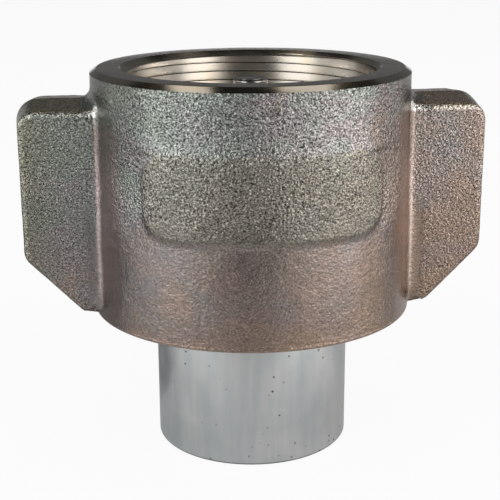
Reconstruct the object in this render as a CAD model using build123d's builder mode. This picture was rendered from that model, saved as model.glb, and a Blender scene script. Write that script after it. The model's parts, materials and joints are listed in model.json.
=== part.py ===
"""Wing-style hammer union, female half: a forged nut with two hammer lugs that spins on a turned,
valved body with a pipe port in its tail.

Millimetres, +Z up. The origin is the centre of the tail's end face, on the axis of the union, and
the lugs lie along X. Every piece is drawn where it sits in the open, unmated union: the nut is down
on its snap ring and the poppet is shut.
"""

import os
from math import hypot, radians, tan

from build123d import *

# ---- Coupler body: one turned piece, tail down ----
tail_radius = 22.225
tail_showing = 32.5  # bare tail below the nut
tail_edge_chamfer = 0.4
flange_width = 4.775  # out from the tail's side
flange_thickness = 7.0
flange_chamfer = 0.8
undercut_depth = 0.35
undercut_width = 1.0
nose_radius = 19.05
nose_length = 21.7  # above the flange
nose_chamfer = 0.8

# ---- Pipe port in the tail: tap-drill bore for a 1 in taper pipe thread ----
port_radius = 14.68
port_depth = 24.0
port_chamfer = 2.2

# ---- Valve chamber and seat inside the body ----
port_floor_width = 0.38  # in from the port's side to the guide's bore
guide_bore_length = 7.75  # from the port's floor to the shoulder above the guide
guide_shoulder_width = 0.7  # in from the guide's bore to the chamber's side
orifice_radius = 10.0
orifice_length = 8.5  # from the top of the seat cone to the nose's front face
orifice_chamfer = 0.6

# ---- Wing nut: closed-die forging, machined inside and on the rim ----
nut_height = 54.4
nut_foot_radius = 36.3
nut_shoulder_radius = 35.6  # under the rim chamfer: the barrel narrows upwards
rim_chamfer = 1.5
nut_foot_round = 0.5
foot_allowance = 3.0  # on the forging, below the foot it's faced off to
thread_pitch = 25.4 / 12  # 2 1/4 in, 12 threads to the inch, right hand
thread_height_ratio = 0.5413  # height over pitch of a 60 degree thread with its crest cut flat
thread_length = 26.5  # from the rim down to the relief
thread_lead_in = 1.65
relief_depth = 0.3  # outside the thread's major radius
web_thickness = 9.5  # the inner shoulder that pulls on the flange
web_chamfer = 0.5
ring_pocket_depth = 5.0

# ---- Hammer lugs: their outline is at the dies' parting line, Y 0, and they narrow from there ----
lug_span = 104.0
lug_thickness = 23.6
lug_draft_angle = 6.0
lug_drop = 6.5  # from the rim down to a lug's top
lug_end_height = 34.1  # the lug's upright outer end
lug_foot_rise = 1.5  # from the nut's foot up to the lug's level underside
lug_heel_width = 3.4  # of that underside, out from the barrel
lug_corner_round = 5.0
lug_edge_round = 2.6
lug_root_fillet = 2.4

# ---- Raised bare pad on the front of the nut ----
pad_width = 50.0
pad_height = 18.0
pad_corner = 5.0
pad_stand = 0.7
pad_bevel = 0.5
pad_centre_drop = 22.9  # from the rim

# ---- Snap ring that keeps the nut on, and the washer between nut and flange ----
snap_ring_thickness = 1.75
snap_ring_groove_depth = 1.3
snap_ring_stand = 2.4  # beyond the tail, opposite the gap
snap_ring_thinning = 0.7  # how far the outer edge is off centre, away from the gap
snap_ring_gap = 7.0
ear_radius = 2.2
ear_hole_radius = 1.0
washer_inset = 0.4  # in from the flange's edge
washer_thickness = 1.6
washer_chamfer = 0.3
nut_float = 1.2  # axial play of the nut between snap ring and flange

# ---- Poppet ----
tip_radius = 3.875
tip_chamfer = 0.5
tip_stand = 5.6  # above the nose, which is also how far the poppet can be pushed in
head_edge_land = 0.45  # of the cone, outside the seat seal
head_front_land = 0.55  # of the cone, inside the seat seal
head_edge_height = 3.0
head_front_rise = 2.2
spring_boss_height = 2.0
stem_radius = 4.0
stem_end_chamfer = 0.6
stem_below_guide = 2.0

# ---- Seat seal, in a groove in the head's cone ----
seat_seal_reach = 0.25  # in past the orifice's side
seat_seal_width = 1.2
seat_seal_depth = 1.3
seat_seal_stand = 0.2

# ---- Valve guide and its retaining ring ----
guide_rim_height = 5.0
guide_rim_width = 1.9
guide_hub_radius = 6.8
guide_hub_height = 12.0
guide_arm_width = 3.2
guide_arms = 4
guide_chamfer = 0.5
circlip_thickness = 1.2
circlip_groove_depth = 0.8
circlip_width = 2.4  # opposite the gap
circlip_thinning = 0.5
circlip_gap = 6.5
circlip_ear_radius = 1.9
circlip_hole_radius = 0.8

# ---- Valve spring, ends ground flat ----
wire_diameter = 2.0
spring_turns = 6

# ---- Nose seal: O-ring with a backup ring below it ----
seal_groove_depth = 2.3
o_ring_section = 2.6
o_ring_room = 0.9  # axial play of the O-ring in its groove
backup_thickness = 1.25
backup_cut_width = 0.25
backup_cut_angle = 30.0
nose_land = 9.2  # from the groove's top to the nose's front face

# ---- Clearances ----
running_clearance = 0.1  # radial, nut and washer on the body
stem_clearance = 0.06  # radial, stem in guide
passing_clearance = 0.429  # radial, flange going down through the nut's thread
ear_clearance = 1.32  # radial, snap ring's ears in the nut's pocket
groove_clearance = 0.1  # axial, ring in its groove
drop_in_clearance = 0.05  # radial, a piece that drops into a bore or a groove
seat_gap = 0.42  # axial, from the seat cone down to the head's cone
spring_clearance = 0.25  # radial, spring on its boss and inside the head's edge

# ---- Heights and radii that follow ----
web_bottom = tail_showing + ring_pocket_depth
web_top = web_bottom + web_thickness
washer_top = web_top + washer_thickness
flange_bottom = washer_top + nut_float
flange_top = flange_bottom + flange_thickness
nose_top = flange_top + nose_length
tip_top = nose_top + tip_stand
nut_top = tail_showing + nut_height
flange_radius = tail_radius + flange_width
washer_radius = flange_radius - washer_inset
thread_minor_radius = flange_radius + passing_clearance
thread_major_radius = thread_minor_radius + thread_height_ratio * thread_pitch
relief_radius = thread_major_radius + relief_depth
swivel_bore_radius = tail_radius + running_clearance
ear_x = snap_ring_gap / 2 + ear_radius
ear_y = tail_radius + ear_radius
ring_pocket_radius = hypot(ear_x, ear_y) + ear_radius + ear_clearance
snap_ring_bottom = web_bottom - snap_ring_thickness
snap_ring_seat_radius = tail_radius - snap_ring_groove_depth
guide_shoulder = port_depth + guide_bore_length
guide_bottom = guide_shoulder - guide_rim_height
guide_top = guide_bottom + guide_hub_height
circlip_bottom = guide_bottom - circlip_thickness
guide_bore_radius = port_radius - port_floor_width
chamber_radius = guide_bore_radius - guide_shoulder_width
circlip_seat_radius = guide_bore_radius + circlip_groove_depth
seat_cone_top = nose_top - orifice_length
seat_cone_bottom = seat_cone_top - (chamber_radius - orifice_radius)
seal_groove_top = nose_top - nose_land
backup_bottom = seal_groove_top - o_ring_room - o_ring_section - backup_thickness
seal_seat_radius = nose_radius - seal_groove_depth
seat_seal_inner_radius = orifice_radius - seat_seal_reach
seat_seal_outer_radius = seat_seal_inner_radius + seat_seal_width
head_radius = seat_seal_outer_radius + head_edge_land
head_front_radius = seat_seal_inner_radius - head_front_land

# ---- Coupler body ----
body_outline = [
    (port_radius, port_chamfer),
    (port_radius + port_chamfer, 0),
    (tail_radius - tail_edge_chamfer, 0),
    (tail_radius, tail_edge_chamfer),
    (tail_radius, snap_ring_bottom),
    (snap_ring_seat_radius, snap_ring_bottom),
    (snap_ring_seat_radius, web_bottom + groove_clearance),
    (tail_radius, web_bottom + groove_clearance),
    (tail_radius, flange_bottom - undercut_width),
    (tail_radius - undercut_depth, flange_bottom - undercut_width + undercut_depth),
    (tail_radius - undercut_depth, flange_bottom),
    (flange_radius - flange_chamfer, flange_bottom),
    (flange_radius, flange_bottom + flange_chamfer),
    (flange_radius, flange_top - flange_chamfer),
    (flange_radius - flange_chamfer, flange_top),
    (nose_radius, flange_top),
    (nose_radius, backup_bottom),
    (seal_seat_radius, backup_bottom),
    (seal_seat_radius, seal_groove_top),
    (nose_radius, seal_groove_top),
    (nose_radius, nose_top - nose_chamfer),
    (nose_radius - nose_chamfer, nose_top),
    (orifice_radius + orifice_chamfer, nose_top),
    (orifice_radius, nose_top - orifice_chamfer),
    (orifice_radius, seat_cone_top),
    (chamber_radius, seat_cone_bottom),
    (chamber_radius, guide_shoulder),
    (guide_bore_radius, guide_shoulder),
    (guide_bore_radius, guide_bottom + groove_clearance),
    (circlip_seat_radius, guide_bottom + groove_clearance),
    (circlip_seat_radius, circlip_bottom),
    (guide_bore_radius, circlip_bottom),
    (guide_bore_radius, port_depth),
    (port_radius, port_depth),
]
with BuildPart() as coupler_body:
    with BuildSketch(Plane.YZ):
        with BuildLine():
            Polyline(*body_outline, close=True)
        make_face()
    revolve(axis=Axis.Z)

# ---- Wing nut ----
rim_bottom = nut_top - rim_chamfer
barrel_taper = (nut_foot_radius - nut_shoulder_radius) / (rim_bottom - tail_showing)
thread_bottom = nut_top - thread_length
lug_top = nut_top - lug_drop
lug_end_bottom = lug_top - lug_end_height
lug_reach = lug_span / 2


def barrel_radius(height):
    """Radius of the tapered, forged barrel at a height."""
    return nut_foot_radius - barrel_taper * (height - tail_showing)


blank_foot = tail_showing - foot_allowance
lug_foot = tail_showing + lug_foot_rise
lug_heel_reach = barrel_radius(lug_foot) + lug_heel_width
lug_inset = lug_thickness / 2 * tan(radians(lug_draft_angle))

with BuildPart() as hammer_lug:
    for side in (1, -1):
        with BuildSketch(Plane.XZ) as parting_outline:
            with BuildLine():
                Polyline(
                    (relief_radius, lug_foot),
                    (lug_heel_reach, lug_foot),
                    (lug_reach, lug_end_bottom),
                    (lug_reach, lug_top),
                    (relief_radius, lug_top),
                    close=True,
                )
            make_face()
            fillet(parting_outline.vertices().group_by(Axis.X)[-1], lug_corner_round)
        with BuildSketch(Plane.XZ.offset(side * lug_thickness / 2)):
            offset(parting_outline.sketch_local, -lug_inset, kind=Kind.INTERSECTION)
        loft(ruled=True)
    side_edges = hammer_lug.faces().filter_by(Axis.Y).edges()
    fillet(side_edges.group_by(Axis.X)[1:], lug_edge_round)

with BuildPart() as front_pad:
    with BuildSketch(Plane.YZ):
        with BuildLine():
            Polyline(
                (relief_radius, tail_showing),
                (barrel_radius(tail_showing) + pad_stand, tail_showing),
                (barrel_radius(rim_bottom) + pad_stand, rim_bottom),
                (relief_radius, rim_bottom),
                close=True,
            )
        make_face()
    revolve(axis=Axis.Z)
    with BuildSketch(Plane.XZ):
        with Locations((0, nut_top - pad_centre_drop)):
            RectangleRounded(pad_width, pad_height, pad_corner)
    extrude(amount=lug_reach, mode=Mode.INTERSECT)
    pad_face = front_pad.faces().sort_by(Axis.Y)[0]
    chamfer(pad_face.edges(), pad_bevel)

with BuildPart() as wing_nut:
    with BuildSketch(Plane.YZ):
        with BuildLine():
            Polyline(
                (0, blank_foot),
                (barrel_radius(blank_foot), blank_foot),
                (barrel_radius(rim_bottom), rim_bottom),
                (barrel_radius(rim_bottom) - rim_chamfer, nut_top),
                (0, nut_top),
                close=True,
            )
        make_face()
    revolve(axis=Axis.Z)
    add(hammer_lug.part)
    mirror(hammer_lug.part, about=Plane.YZ)
    barrel_face = wing_nut.faces().filter_by(GeomType.CONE).sort_by(SortBy.AREA)[-1]
    lug_roots = [e for e in barrel_face.edges() if abs(e.center().X) > relief_radius]
    fillet(lug_roots, lug_root_fillet)
    split(bisect_by=Plane.XY.offset(tail_showing), keep=Keep.TOP)
    fillet(wing_nut.edges().group_by(Axis.Z)[0], nut_foot_round)
    add(front_pad.part)
    with BuildSketch(Plane.YZ):
        with BuildLine():
            Polyline(
                (0, tail_showing),
                (ring_pocket_radius, tail_showing),
                (ring_pocket_radius, web_bottom),
                (swivel_bore_radius + web_chamfer, web_bottom),
                (swivel_bore_radius, web_bottom + web_chamfer),
                (swivel_bore_radius, web_top - web_chamfer),
                (swivel_bore_radius + web_chamfer, web_top),
                (relief_radius, web_top),
                (relief_radius, thread_bottom),
                (thread_minor_radius, thread_bottom + relief_radius - thread_minor_radius),
                (thread_minor_radius, nut_top - thread_lead_in),
                (thread_minor_radius + thread_lead_in, nut_top),
                (0, nut_top),
                close=True,
            )
        make_face()
    revolve(axis=Axis.Z, mode=Mode.SUBTRACT)

# ---- Snap ring under the nut: an open ring, thinner towards its two eared ends ----
with BuildPart() as nut_snap_ring:
    with BuildSketch(Plane.XY.offset(snap_ring_bottom)):
        with Locations((0, -snap_ring_thinning)):
            Circle(tail_radius + snap_ring_stand - snap_ring_thinning)
        with Locations((-ear_x, ear_y), (ear_x, ear_y)):
            Circle(ear_radius)
            Circle(ear_hole_radius, mode=Mode.SUBTRACT)
        Circle(snap_ring_seat_radius + drop_in_clearance, mode=Mode.SUBTRACT)
        with Locations((0, ear_y)):
            Rectangle(snap_ring_gap, ear_y, mode=Mode.SUBTRACT)
    extrude(amount=snap_ring_thickness)

# ---- Thrust washer between the nut's web and the flange ----
with BuildPart() as thrust_washer:
    with BuildSketch(Plane.XY.offset(web_top)):
        Circle(washer_radius)
        Circle(tail_radius + running_clearance, mode=Mode.SUBTRACT)
    extrude(amount=washer_thickness)
    chamfer(thrust_washer.edges(), washer_chamfer)


# ---- Poppet: tip, head and stem in one ----
def head_cone(radius):
    """Height of the head's 45 degree cone at a radius, one gap below the seat cone."""
    return seat_cone_top + orifice_radius - radius - seat_gap


head_shoulder = head_cone(head_radius)
head_back = head_shoulder - head_edge_height
spring_radius = head_radius - spring_clearance - wire_diameter / 2
spring_boss_radius = spring_radius - wire_diameter / 2 - spring_clearance
seat_seal_floor = head_cone(seat_seal_outer_radius) - seat_seal_depth

with BuildPart() as poppet:
    with BuildSketch(Plane.YZ):
        with BuildLine():
            Polyline(
                (0, tip_top),
                (tip_radius - tip_chamfer, tip_top),
                (tip_radius, tip_top - tip_chamfer),
                (tip_radius, head_cone(head_front_radius) + head_front_rise),
                (head_front_radius, head_cone(head_front_radius)),
                (seat_seal_inner_radius, head_cone(seat_seal_inner_radius)),
                (seat_seal_inner_radius, seat_seal_floor),
                (seat_seal_outer_radius, seat_seal_floor),
                (seat_seal_outer_radius, head_cone(seat_seal_outer_radius)),
                (head_radius, head_shoulder),
                (head_radius, head_back),
                (spring_boss_radius, head_back),
                (spring_boss_radius, head_back - spring_boss_height),
                (stem_radius, head_back - spring_boss_height),
                (stem_radius, guide_bottom - stem_below_guide + stem_end_chamfer),
                (stem_radius - stem_end_chamfer, guide_bottom - stem_below_guide),
                (0, guide_bottom - stem_below_guide),
                close=True,
            )
        make_face()
    revolve(axis=Axis.Z)

with BuildPart() as seat_seal:
    with BuildSketch(Plane.YZ):
        with BuildLine():
            Polyline(
                (seat_seal_inner_radius, seat_seal_floor),
                (seat_seal_outer_radius, seat_seal_floor),
                (seat_seal_outer_radius, head_cone(seat_seal_outer_radius) + seat_seal_stand),
                (seat_seal_inner_radius, head_cone(seat_seal_inner_radius) + seat_seal_stand),
                close=True,
            )
        make_face()
    revolve(axis=Axis.Z)

# ---- Valve guide: hub on four arms inside a rim ----
guide_rim_radius = guide_bore_radius - drop_in_clearance
guide_rim_inner_radius = guide_rim_radius - guide_rim_width
with BuildPart() as valve_guide:
    with BuildSketch(Plane.XY.offset(guide_bottom)):
        Circle(guide_rim_radius)
        Circle(guide_rim_inner_radius, mode=Mode.SUBTRACT)
        with PolarLocations(guide_rim_radius / 2, guide_arms):
            Rectangle(guide_rim_inner_radius, guide_arm_width)
    extrude(amount=guide_rim_height)
    with BuildSketch(Plane.XY.offset(guide_bottom)):
        Circle(guide_hub_radius)
    extrude(amount=guide_hub_height)
    with BuildSketch(Plane.XY.offset(guide_bottom)):
        Circle(stem_radius + stem_clearance)
    extrude(amount=guide_hub_height, mode=Mode.SUBTRACT)
    chamfer(valve_guide.edges().group_by(Axis.Z)[-1], guide_chamfer)

# ---- Circlip that holds the guide up in the body ----
circlip_radius = circlip_seat_radius - drop_in_clearance
circlip_bore = circlip_radius - circlip_width + circlip_thinning
circlip_ear_x = circlip_gap / 2 + circlip_ear_radius
circlip_ear_y = circlip_bore - circlip_ear_radius
with BuildPart() as guide_circlip:
    with BuildSketch(Plane.XY.offset(circlip_bottom)):
        Circle(circlip_radius)
        with Locations((0, circlip_thinning)):
            Circle(circlip_bore, mode=Mode.SUBTRACT)
        with Locations((-circlip_ear_x, circlip_ear_y), (circlip_ear_x, circlip_ear_y)):
            Circle(circlip_ear_radius)
            Circle(circlip_hole_radius, mode=Mode.SUBTRACT)
        with Locations((0, circlip_radius)):
            Rectangle(circlip_gap, circlip_radius, mode=Mode.SUBTRACT)
    extrude(amount=circlip_thickness)

# ---- Valve spring between the guide's arms and the head ----
spring_foot = guide_shoulder
spring_length = head_back - spring_foot
spring_pitch = spring_length / spring_turns

with BuildPart() as valve_spring:
    with BuildLine(Plane.XY.offset(spring_foot - wire_diameter / 2)):
        coil = Helix(spring_pitch, spring_length + wire_diameter, spring_radius)
    with BuildSketch(Plane(coil @ 0, z_dir=coil % 0)):
        Circle(wire_diameter / 2)
    sweep(path=coil, is_frenet=True)
    with BuildSketch(Plane.XY.offset(spring_foot)):
        Circle(head_radius)
    extrude(amount=spring_length, mode=Mode.INTERSECT)

# ---- Nose seal ----
o_ring_reach = seal_seat_radius + drop_in_clearance + o_ring_section / 2
o_ring_height = backup_bottom + backup_thickness + o_ring_section / 2
with BuildPart() as nose_o_ring:
    with BuildSketch(Plane.YZ):
        with Locations((o_ring_reach, o_ring_height)):
            Circle(o_ring_section / 2)
    revolve(axis=Axis.Z)

with BuildPart() as nose_backup_ring:
    with BuildSketch(Plane.XY.offset(backup_bottom)):
        Circle(nose_radius - drop_in_clearance)
        Circle(seal_seat_radius + drop_in_clearance, mode=Mode.SUBTRACT)
    extrude(amount=backup_thickness)
    scarf = Plane((0, nose_radius, backup_bottom + backup_thickness / 2), x_dir=(1, 0, 0))
    with BuildSketch(scarf.rotated((0, backup_cut_angle, 0))):
        Rectangle(nose_radius, nose_radius)
    extrude(amount=backup_cut_width / 2, both=True, mode=Mode.SUBTRACT)

# ---- Write one STEP file per piece ----
os.makedirs("parts", exist_ok=True)
coupler_body.part.label = "coupler_body"
export_step(coupler_body.part, "parts/coupler_body.step")
wing_nut.part.label = "wing_nut"
export_step(wing_nut.part, "parts/wing_nut.step")
nut_snap_ring.part.label = "nut_snap_ring"
export_step(nut_snap_ring.part, "parts/nut_snap_ring.step")
thrust_washer.part.label = "thrust_washer"
export_step(thrust_washer.part, "parts/thrust_washer.step")
poppet.part.label = "poppet"
export_step(poppet.part, "parts/poppet.step")
seat_seal.part.label = "seat_seal"
export_step(seat_seal.part, "parts/seat_seal.step")
valve_guide.part.label = "valve_guide"
export_step(valve_guide.part, "parts/valve_guide.step")
guide_circlip.part.label = "guide_circlip"
export_step(guide_circlip.part, "parts/guide_circlip.step")
valve_spring.part.label = "valve_spring"
export_step(valve_spring.part, "parts/valve_spring.step")
nose_o_ring.part.label = "nose_o_ring"
export_step(nose_o_ring.part, "parts/nose_o_ring.step")
nose_backup_ring.part.label = "nose_backup_ring"
export_step(nose_backup_ring.part, "parts/nose_backup_ring.step")
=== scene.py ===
import json
import math

import bmesh
import bpy
from mathutils import Matrix, Vector, noise

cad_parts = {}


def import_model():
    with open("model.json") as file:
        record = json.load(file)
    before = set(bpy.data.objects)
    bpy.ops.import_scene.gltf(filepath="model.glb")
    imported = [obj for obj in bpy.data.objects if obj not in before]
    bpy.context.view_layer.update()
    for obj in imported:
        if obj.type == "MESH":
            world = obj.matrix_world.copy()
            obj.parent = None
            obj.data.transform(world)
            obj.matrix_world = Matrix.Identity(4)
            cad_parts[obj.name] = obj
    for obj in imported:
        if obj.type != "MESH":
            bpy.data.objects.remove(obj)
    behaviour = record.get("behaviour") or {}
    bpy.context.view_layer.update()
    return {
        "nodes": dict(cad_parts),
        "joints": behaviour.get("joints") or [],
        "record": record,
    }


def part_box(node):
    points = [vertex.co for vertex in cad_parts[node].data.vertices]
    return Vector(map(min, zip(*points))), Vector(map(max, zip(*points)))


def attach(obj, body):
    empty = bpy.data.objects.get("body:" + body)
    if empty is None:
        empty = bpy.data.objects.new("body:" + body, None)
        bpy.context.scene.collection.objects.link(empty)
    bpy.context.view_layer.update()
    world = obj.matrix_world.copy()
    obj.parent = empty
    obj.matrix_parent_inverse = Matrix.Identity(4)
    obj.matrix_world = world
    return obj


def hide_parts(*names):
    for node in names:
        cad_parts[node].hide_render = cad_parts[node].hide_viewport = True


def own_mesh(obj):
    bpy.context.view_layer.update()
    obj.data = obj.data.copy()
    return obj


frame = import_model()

MM = 0.001  # outlines below are written in millimetres, meshes are in metres

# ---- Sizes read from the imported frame, in millimetres ----


def heights(node):
    """Lowest and highest point of a CAD node."""
    low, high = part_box(node)
    return low.z / MM, high.z / MM


def reach(node, axis=0):
    """Furthest point of a CAD node from the union's axis, along x or another axis."""
    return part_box(node)[1][axis] / MM


def range_end(joint):
    """Upper end of a sliding joint's range, in metres."""
    return next(j["range_m"][1] for j in frame["joints"] if j["name"] == joint)


NUT_FOOT, NUT_TOP = heights("wing_nut")
RING_BOTTOM, RING_TOP = heights("nut_snap_ring")
WASHER_BOTTOM, WASHER_TOP = heights("thrust_washer")
STEM_BOTTOM, TIP_TOP = heights("poppet")
NOSE_TOP = heights("coupler_body")[1]
BACKUP_BOTTOM = heights("nose_backup_ring")[0]
GUIDE_BOTTOM = heights("valve_guide")[0]
CIRCLIP_BOTTOM = heights("guide_circlip")[0]
SPRING_BOTTOM, SPRING_TOP = heights("valve_spring")
FLANGE_RADIUS = reach("coupler_body")
LUG_REACH = reach("wing_nut")
FOOT_RADIUS = reach("wing_nut", axis=1)

# ---- Sizes of the nut ----
SHOULDER_RADIUS = 35.6
RIM_CHAMFER = 1.5
FOOT_ROUND = 0.5
SKIN_INNER_RADIUS = 34.0  # where the forged skin's mesh meets the machined core's, inside the metal
THREAD_MAJOR = 28.575
THREAD_PITCH = 25.4 / 12
THREAD_HEIGHT = 0.5413  # of the pitch, for a 60 degree thread
THREAD_MINOR = THREAD_MAJOR - THREAD_HEIGHT * THREAD_PITCH
THREAD_LENGTH = 26.5
LEAD_IN = 1.65
RELIEF_RADIUS = 28.875
POCKET_RADIUS = 28.6
WEB_RADIUS = 22.325
RIM_BOTTOM = NUT_TOP - RIM_CHAMFER
LEAD_IN_BOTTOM = NUT_TOP - LEAD_IN

# ---- Sizes of a hammer lug, its outline at the parting line ----
LUG_TOP = NUT_TOP - 6.5
LUG_END_BOTTOM = LUG_TOP - 34.1
LUG_HEEL = NUT_FOOT + 0.45
LUG_SLOPE = math.radians(-44.2)  # the way that the sloping underside faces
LUG_HALF = 11.8
LUG_CORNER = 5.0
LUG_EDGE = 1.1
LUG_DRAFT = math.tan(math.radians(6.0))
LUG_ROOT = 36.0  # how far out the lugs leave the barrel's side

# ---- Sizes of the coupler body ----
TAIL_RADIUS = 22.225
PORT_RADIUS = 14.68
PORT_DEPTH = 24.0
PORT_CHAMFER = 2.2
PIPE_PITCH = 25.4 / 11.5
PIPE_TAPER = 1 / 32  # of the radius, per length
PIPE_THREAD_LENGTH = 20.0
PIPE_CREST_STAND = 0.5  # in from the port's wall
NOSE_RADIUS = 19.05
FLANGE_BOTTOM = WASHER_TOP + range_end("nut_float") / MM
FLANGE_TOP = FLANGE_BOTTOM + 7.0
SEAL_SEAT_RADIUS = 16.75
SEAL_GROOVE_TOP = NOSE_TOP - 9.2
ORIFICE_RADIUS = 10.0
SEAT_TOP = NOSE_TOP - 8.5
CHAMBER_RADIUS = 13.6
GUIDE_BORE_RADIUS = 14.3
GUIDE_SHOULDER = SPRING_BOTTOM
ORIFICE_CHAMFER = 0.6
BODY_CHAMFER = 0.8  # on the nose and the flange
TAIL_CHAMFER = 0.4
CIRCLIP_GROOVE = 0.8
RING_GROOVE = 1.3
GROOVE_PLAY = 0.1  # between a ring and its groove, along the axis
UNDERCUT = 0.35  # in the tail, under the flange
UNDERCUT_LENGTH = 1.0

# ---- Sizes of the poppet and the spring ----
TIP_RADIUS = 3.875
TIP_CHAMFER = 0.5
HEAD_RADIUS = 11.4
HEAD_FRONT_RADIUS = 9.2
HEAD_FRONT_RISE = 2.2
HEAD_EDGE_HEIGHT = 3.0
STEM_RADIUS = 4.0
STEM_CHAMFER = 0.6
BOSS_HEIGHT = 2.0  # of the boss that centres the spring
BOSS_PLAY = 0.25
SEAT_GAP = 0.42
SEAL_INNER = 9.75
SEAL_OUTER = 10.95
SEAL_DEPTH = 1.3
WIRE_RADIUS = 1.0
SPRING_RADIUS = 10.15
SPRING_TURNS = 6

# ---- Mesh helpers ----
AROUND = 240  # vertices in a ring
ROUND_STEPS = 3  # pieces in a rounded corner
SHARP = 30  # degrees between faces from which a turned edge is sharp
TOUCH = 0.01  # points closer than this count as being at the same place


def new_object(name, bm, sharp_angle=None):
    """A mesh object from a bmesh in millimetres."""
    bm.normal_update()
    mesh = bpy.data.meshes.new(name)
    bmesh.ops.scale(bm, vec=Vector((MM, MM, MM)), verts=bm.verts)
    bm.to_mesh(mesh)
    bm.free()
    mesh.polygons.foreach_set("use_smooth", [True] * len(mesh.polygons))
    if sharp_angle:
        mesh.set_sharp_from_angle(angle=math.radians(sharp_angle))
    piece = bpy.data.objects.new(name, mesh)
    bpy.context.scene.collection.objects.link(piece)
    return piece


def softened(outline):
    """A closed outline of (radius, height) or (radius, height, round) points, its corners rounded."""
    made = []
    for i, corner in enumerate(outline):
        here = Vector(corner[:2])
        size = corner[2] if len(corner) > 2 else 0
        before = Vector(outline[i - 1][:2]) - here
        after = Vector(outline[(i + 1) % len(outline)][:2]) - here
        if not size or before.length < 1e-6 or after.length < 1e-6:
            made.append(tuple(here))
            continue
        size = min(size, 0.45 * before.length, 0.45 * after.length)
        start = here + before.normalized() * size
        end = here + after.normalized() * size
        for k in range(ROUND_STEPS + 1):
            t = k / ROUND_STEPS
            point = start * (1 - t) ** 2 + here * 2 * t * (1 - t) + end * t**2
            made.append(tuple(point))
    return made


def ring(bm, radius, height):
    """One ring of vertices, or one vertex on the axis."""
    if radius < 1e-6:
        return [bm.verts.new((0, 0, height))]
    turn = 2 * math.pi / AROUND
    return [
        bm.verts.new((radius * math.cos(i * turn), radius * math.sin(i * turn), height))
        for i in range(AROUND)
    ]


def skirt(bm, low, high):
    """Faces between two rings, either of which may be a single vertex on the axis."""
    count = max(len(low), len(high))
    for i in range(count):
        j = (i + 1) % count
        corners = [low[i % len(low)], low[j % len(low)], high[j % len(high)], high[i % len(high)]]
        distinct = list(dict.fromkeys(corners))
        if len(distinct) > 2:
            bm.faces.new(distinct)


def turned(name, outline):
    """A solid of revolution from a closed outline that runs anticlockwise in (radius, height)."""
    bm = bmesh.new()
    rings = [ring(bm, r, z) for r, z in softened(outline)]
    for low, high in zip(rings, rings[1:] + rings[:1]):
        if len(low) > 1 or len(high) > 1:
            skirt(bm, low, high)
    bmesh.ops.recalc_face_normals(bm, faces=bm.faces)
    return new_object(name, bm, SHARP)


# Heights along one pitch at which a thread's rows of vertices lie, as shares of the pitch.
CREST_HALF = 0.125
ROOT_START = 0.4375
THREAD_ROWS = (
    0.0, 0.05, 0.10, CREST_HALF, 0.20, 0.30, 0.40, ROOT_START,
    0.50, 1 - ROOT_START, 0.66, 0.78, 0.84, 1 - CREST_HALF, 0.91, 0.94,
)


def thread_depth(turns):
    """Depth of a 60 degree internal thread, as a share of its pitch, at a height given in turns."""
    from_crest = abs((turns + 0.5) % 1 - 0.5)
    along = (from_crest - CREST_HALF) / (ROOT_START - CREST_HALF)
    return THREAD_HEIGHT * min(max(along, 0), 1)


# The union thread's form, as (height, depth) in pitches: broad crests that lean back as they rise, and
# a narrow root hidden under the next crest.
UNION_FORM = (
    (0.0, 0.0), (0.12, 0.015), (0.40, 0.08), (0.70, 0.16),
    (0.875, 0.225), (0.91, 0.40), (0.94, 0.42), (1.0, 0.0),
)


def union_depth(turns):
    """Depth of the union thread, as a share of its pitch, at a height given in turns."""
    place = turns % 1
    for (low, shallow), (high, deep) in zip(UNION_FORM, UNION_FORM[1:]):
        if place <= high:
            return shallow + (deep - shallow) * (place - low) / (high - low)


def thread_rings(bm, bottom, top, pitch, radius_at):
    """Rows of a right-hand helical thread between two heights. radius_at(height, turns) gives the wall.

    Row j is one pitch higher at the end of a turn than at its start, so a face at the seam joins row j
    to the row one pitch up. Rows past either end are pressed flat on it and merged away later.
    """
    per_pitch = len(THREAD_ROWS)
    rows = per_pitch * (math.ceil((top - bottom) / pitch) + 1)
    grid = []
    for j in range(rows + 1):
        level = bottom - pitch + (j // per_pitch + THREAD_ROWS[j % per_pitch]) * pitch
        row = []
        for i in range(AROUND):
            turn = i / AROUND
            height = min(max(level + turn * pitch, bottom), top)
            radius = radius_at(height, (height - bottom) / pitch - turn)
            angle = 2 * math.pi * turn
            row.append(bm.verts.new((radius * math.cos(angle), radius * math.sin(angle), height)))
        grid.append(row)
    for j in range(rows):
        for i in range(AROUND):
            if i + 1 < AROUND:
                far_low, far_high = grid[j][i + 1], grid[j + 1][i + 1]
            else:
                far_low = grid[min(j + per_pitch, rows)][0]
                far_high = grid[min(j + 1 + per_pitch, rows)][0]
            corners = list(dict.fromkeys([grid[j][i], far_low, far_high, grid[j + 1][i]]))
            if len(corners) > 2:
                bm.faces.new(corners)
    return grid[0], grid[-1]


def threaded(name, outline, bottom, top, pitch, radius_at):
    """A turned solid whose outline is closed by a thread, from the outline's last point to its first."""
    bm = bmesh.new()
    rings = [ring(bm, r, z) for r, z in softened(outline)]
    for low, high in zip(rings, rings[1:]):
        skirt(bm, low, high)
    first, last = thread_rings(bm, bottom, top, pitch, radius_at)
    if outline[-1][1] > outline[0][1]:
        first, last = last, first
    skirt(bm, rings[-1], first)
    skirt(bm, last, rings[0])
    bmesh.ops.remove_doubles(bm, verts=bm.verts, dist=1e-5)
    bmesh.ops.dissolve_degenerate(bm, edges=bm.edges, dist=1e-5)
    bmesh.ops.recalc_face_normals(bm, faces=bm.faces)
    return new_object(name, bm, SHARP)


# ---- Materials ----


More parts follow.
